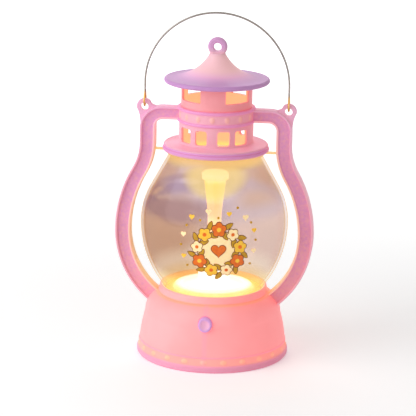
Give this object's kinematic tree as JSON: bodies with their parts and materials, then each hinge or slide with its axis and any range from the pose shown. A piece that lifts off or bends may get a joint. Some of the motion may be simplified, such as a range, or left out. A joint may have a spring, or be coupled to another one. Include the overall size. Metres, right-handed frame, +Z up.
{
  "type": "led lantern",
  "caption": "Small battery lantern in the form of a paraffin lamp: clear bulging globe, round base with a push button, vented top, two side arms and a swinging wire bail.",
  "frame": {"origin": "centre of the underside, on the surface that the lantern stands on", "axes": "+Z up towards the hanging ring, -Y towards the push button, X across the two arms"},
  "size_m": [0.077, 0.0588, 0.134],
  "materials": {
    "pink_plastic": "satin moulded plastic, milky pink",
    "salmon_plastic": "satin moulded plastic, light passes through it",
    "lilac_plastic": "satin moulded plastic",
    "clear_plastic": "clear polished shell",
    "glowing_clear_plastic": "clear plastic lit warm yellow from below",
    "white_plastic": "milky white, lit from below",
    "black_plastic": "matte",
    "board_green": "lacquered board",
    "steel": "plated steel",
    "nickel_wire": "bright nickel",
    "red_insulation": "soft insulation",
    "black_insulation": "soft insulation"
  },
  "bodies": {
    "lantern": {"roof_cap": "lilac_plastic", "upper_vent": "salmon_plastic", "side_frame": "lilac_plastic", "lower_vent": "pink_plastic", "globe": "clear_plastic", "light_guide": "glowing_clear_plastic", "diffuser_plate": "white_plastic", "base_shell": "salmon_plastic", "bottom_cover": "pink_plastic", "battery_door": "pink_plastic", "door_screw": "steel", "cover_screws": "steel", "battery_holder": "black_plastic", "button_cells": "steel", "contact_plate": "steel", "contact_spring": "steel", "circuit_board": "board_green", "led": "white_plastic", "resistor": "black_plastic", "board_screws": "steel", "switch_body": "black_plastic", "lead_red": "red_insulation", "lead_black": "black_insulation"},
    "bail": {"bail_wire": "nickel_wire"},
    "button": {"push_button": "lilac_plastic", "switch_plunger": "white_plastic"}
  },
  "joints": [
    {"name": "bail_swing", "type": "hinge", "parent": "lantern", "child": "bail", "pos_m": [0, 0, 0.0989], "axis": [1, 0, 0], "range_deg": [-138, 138]},
    {"name": "button_press", "type": "slide", "parent": "lantern", "child": "button", "axis": [0, 1, 0], "range_m": [0, 0.001], "stiffness_N_per_m": 600, "springref_m": -0.0005}
  ]
}
